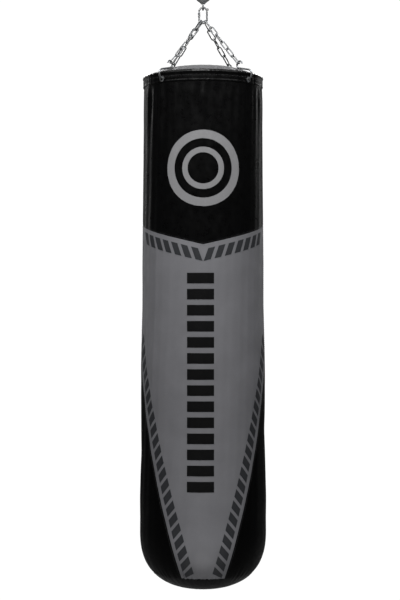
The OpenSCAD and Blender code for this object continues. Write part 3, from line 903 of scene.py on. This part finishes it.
for name, turn_side in {"front": -1, "back": 1}.items():
    radius, height = lid_outline()
    theta = turn_side * (180 * eased(145, 0.1))[None, :]
    radius, height, theta = np.broadcast_arrays(radius[:, None], height[:, None], theta)
    points = lid_points(radius, height, theta)
    away = np.maximum(np.abs(points[..., 1]), zip_opening(points[..., 0]))
    hem_roll = np.exp(-((away - zip_opening(points[..., 0])) / 3.5) ** 2)
    points[..., 2] += 0.5 * hem_roll * (np.abs(points[..., 0]) < ZIP_HALF)
    points[..., 1] = turn_side * away
    lid = add_piece(f"lid_leather_{name}", points, grid_faces(*radius.shape, False),
                    LID_LEATHER)
    if lid.data.polygons[radius.shape[1] * 40].normal[2] < 0:
        lid.data.flip_normals()
    thicken(lid, LID_T)
    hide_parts(f"lid_{name}")

lid_lines = []
for turn_side in (-1, 1):
    x = np.linspace(-ZIP_HALF + 2, ZIP_HALF - 2, 180)
    y = turn_side * (zip_opening(x) + ZIP_STITCH_OFF)
    r = np.hypot(x, y)
    base = lid_points(r, lid_height(r), np.degrees(np.arctan2(y, x)))
    base[:, 2] += 0.3
    lid_lines.append((base, np.tile([0.0, 0.0, 1.0], (len(x), 1))))
stitches("zip_stitches", lid_lines, GREY_THREAD)


# ---------- stuffing, liner and pads ----------

def turned_piece(name, node, profile, lump, material, columns=96):
    """A lumpy piece turned about the axis that stands for a soft CAD node, just inside it."""
    profile = np.array(profile, dtype=float)
    rows = len(profile)
    theta = np.arange(columns) * 360 / columns
    noise = sum(np.sin(n * np.radians(theta)[None, :] + profile[:, 1:] / w + p)
                for n, w, p in ((5, 31, 0.3), (9, 17, 1.9), (14, 23, 4.1))) / 3
    r = np.maximum(profile[:, :1] - lump * (0.5 + 0.5 * noise), 0)
    r = np.where(profile[:, :1] <= 0, 0, r)
    angle = np.radians(theta)[None, :]
    z = profile[:, 1:] + np.zeros((1, columns))
    points = np.stack([r * np.sin(angle), -r * np.cos(angle), z], axis=-1)
    faces = grid_faces(rows, columns, True)
    if profile[0, 0] > 0:
        faces += [((rows - 1) * columns + c, c, (c + 1) % columns,
                   (rows - 1) * columns + (c + 1) % columns) for c in range(columns)]
    made = add_piece(name, points, faces, material)
    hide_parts(node)
    return made


def outline_inside(inset, z_from, count):
    """Points down the outline from a depth to the bottom, moved in by inset."""
    s = np.linspace(float(run_at(z_from)), SKIN_LENGTH, count)
    points = plain_points(s, np.full(count, 90.0), -inset)
    points[-1, 0] = 0
    return [(max(x, 0), z) for x, _, z in points]


liner_z = np.linspace(-HEM_H - 5, -SIDE_H + 2, 60)
outer_wall = [(side_radius(z) - 4.6, z) for z in liner_z]
inner_wall = [(side_radius(z) - 15.6, z) for z in liner_z[::-1]]
turned_piece("liner_foam", "foam_liner", outer_wall + inner_wall, 0.6, FOAM)
core_side = [(side_radius(z) - 20, z) for z in np.linspace(-HEM_H - 10, -SIDE_H, 60)]
core_foot = outline_inside(27, -SIDE_H - 4, 24)
turned_piece("stuffing", "filling_core", [(0, -6), (90, -6), (136, -7), (150, -HEM_H)]
             + core_side + core_foot, 3.0, STUFFING)
pad_out = outline_inside(6, -SIDE_H - 3, 26)
pad_in = outline_inside(22, -SIDE_H - 3, 26)[::-1]
# Known fault: the inside runs from the middle outwards, so this piece is not closed.
turned_piece("bottom_wadding", "bottom_pad", pad_out[::-1] + pad_in[:-1], 0.8,
             STUFFING)
turned_piece("top_wadding", "top_pad", [(0, 1), (60, 1), (128, 1), (132, 5), (122, 9),
                                        (104, 14), (90, 17), (60, 18), (0, 18)],
             1.5, STUFFING)


# ---------- materials of the carried-over pieces ----------

def paint(nodes, material):
    """Gives CAD nodes a material."""
    for node in nodes:
        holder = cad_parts[node]
        if not holder.material_slots:
            holder.data.materials.append(material)
        for slot in holder.material_slots:
            slot.material = material


STRANDS = ("front_left", "front_right", "back_right", "back_left")
paint([f"{part}_{strand}" for part in ("chain", "s_hook") for strand in STRANDS], ZINC)
paint(["snap_hook", "snap_gate", "gate_rivet", "eyelets", "split_pin", "clevis_bolt",
       "swivel_shank", "clevis_nut", "shank_nut", "zip_stops", "zip_slider", "zip_pull"], ZINC)
# The swivel housing, cap and clevis take the lighter zinc copy, which is painted light.
paint(["hang_clevis", "swivel_housing", "swivel_cap"], LIT_ZINC)
paint(["lower_race", "upper_race", "bearing_balls"], BEARING)
paint(["ball_cage"], BRASS)
paint(["rim_hoop"], HOOP)
paint(["zip_tape_front", "zip_tape_back"], TAPE)
paint(["zip_teeth_front", "zip_teeth_back"], TOOTH)

SWIVEL_BEVEL, ZIP_BEVEL = 0.4, 0.15

for node in ("hang_clevis", "clevis_bolt", "clevis_nut", "swivel_housing", "swivel_cap",
             "shank_nut", "zip_slider", "zip_pull", "zip_stops"):
    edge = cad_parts[node].modifiers.new("edge", "BEVEL")
    edge.width = (ZIP_BEVEL if node.startswith("zip") else SWIVEL_BEVEL) * MM
    edge.segments = 2
    edge.limit_method = "ANGLE"
    edge.angle_limit = math.radians(40)
    edge.use_clamp_overlap = True


# ---------- floor, background and light ----------

FLOOR_GAP_M = 0.28
FLOOR_M = RIM_M - BAG_H * MM - FLOOR_GAP_M


def area_light(name, place, aim, size, power, spread=math.pi):
    """A soft light with its place, aim and size in metres, unseen by the camera."""
    data = bpy.data.lights.new(name, "AREA")
    data.shape = "RECTANGLE"
    data.size, data.size_y = size
    data.energy = power
    data.spread = spread
    made = bpy.data.objects.new(name, data)
    made.location = place
    direction = bpy.data.objects.new(name + "_aim", None)
    direction.location = aim
    way = direction.location - made.location
    made.rotation_euler = way.to_track_quat("-Z", "Y").to_euler()
    bpy.data.objects.remove(direction)
    made.visible_camera = False
    bpy.context.scene.collection.objects.link(made)


def split_by_camera(tree, seen, cast, target):
    """Shows one shader to the camera and lights the scene with another."""
    path = tree.nodes.new("ShaderNodeLightPath")
    mix = tree.nodes.new("ShaderNodeMixShader")
    tree.links.new(path.outputs["Is Camera Ray"], mix.inputs["Fac"])
    tree.links.new(cast, mix.inputs[1])
    tree.links.new(seen, mix.inputs[2])
    tree.links.new(mix.outputs["Shader"], target)


def white_floor():
    """A wide pale floor that runs into the background."""
    mesh = bpy.data.meshes.new("floor")
    reach = 30
    mesh.from_pydata([(-reach, -reach, FLOOR_M), (reach, -reach, FLOOR_M),
                      (reach, reach, FLOOR_M), (-reach, reach, FLOOR_M)], [], [(0, 1, 2, 3)])
    made, tree, shader = node_material("floor_white")
    cloud = textured(tree, "ShaderNodeTexNoise", 0.6, Detail=2)
    tone = ramp(tree, cloud.outputs["Fac"], grey(0.09), grey(0.11))
    tree.links.new(tone, shader.inputs["Base Color"])
    shader.inputs["Roughness"].default_value = 0.9
    glow = tree.nodes.new("ShaderNodeEmission")
    glow.inputs["Strength"].default_value = 1.05
    output = next(n for n in tree.nodes if n.type == "OUTPUT_MATERIAL")
    split_by_camera(tree, glow.outputs["Emission"], shader.outputs["BSDF"],
                    output.inputs["Surface"])
    mesh.materials.append(made)
    floor = bpy.data.objects.new("floor", mesh)
    bpy.context.scene.collection.objects.link(floor)


def white_world():
    """White to look at, but as light a dark studio with a pale ceiling."""
    world = bpy.data.worlds.new("studio")
    bpy.context.scene.world = world
    world.use_nodes = True
    tree = world.node_tree
    seen = tree.nodes["Background"]
    seen.inputs["Color"].default_value = (1, 1, 1, 1)
    seen.inputs["Strength"].default_value = 1.05
    cast = tree.nodes.new("ShaderNodeBackground")
    place = tree.nodes.new("ShaderNodeTexCoord")
    split = tree.nodes.new("ShaderNodeSeparateXYZ")
    tree.links.new(place.outputs["Generated"], split.inputs["Vector"])
    ceiling = ramp(tree, split.outputs["Z"], grey(0.04), grey(0.4), 0.35, 0.85)
    tree.links.new(ceiling, cast.inputs["Color"])
    cast.inputs["Strength"].default_value = 1.0
    split_by_camera(tree, seen.outputs["Background"], cast.outputs["Background"],
                    tree.nodes["World Output"].inputs["Surface"])


# Each pair, in metres: place, how far below the rim it aims, and size; then its power.
PAIRED_LIGHTS = {
    "fill": ((1.9, -1.4, 1.6), 0.7, (1.6, 1.2), 22),
    "rear": ((1.7, 1.9, -0.1), 0.3, (0.35, 1.4), 1.7),
    "back": ((1.3, 2.2, 1.2), 0.7, (0.9, 1.0), 52),
}

white_floor()
white_world()
area_light("key", (-0.15, -1.9, RIM_M + 2.1), (0, 0, RIM_M - 0.5), (1.2, 1.0), 134)
for light, ((x, y, above_rim), aim_drop, size, power) in PAIRED_LIGHTS.items():
    for hand, side in (("right", 1), ("left", -1)):
        area_light(f"{light}_{hand}", (side * x, y, RIM_M + above_rim),
                   (0, 0, RIM_M - aim_drop), size, power)
area_light("under", (0, -0.5, FLOOR_M + 0.02), (0, 0, RIM_M - 1.5), (0.3, 0.3), 1.3)
area_light("swivel", (0, -0.5, RIM_M + 0.02), (0, 0, RIM_M + 0.24), (0.25, 0.12), 0.1,
           math.radians(40))

scene = bpy.context.scene
scene.view_settings.view_transform = "Standard"
scene.view_settings.look = "None"
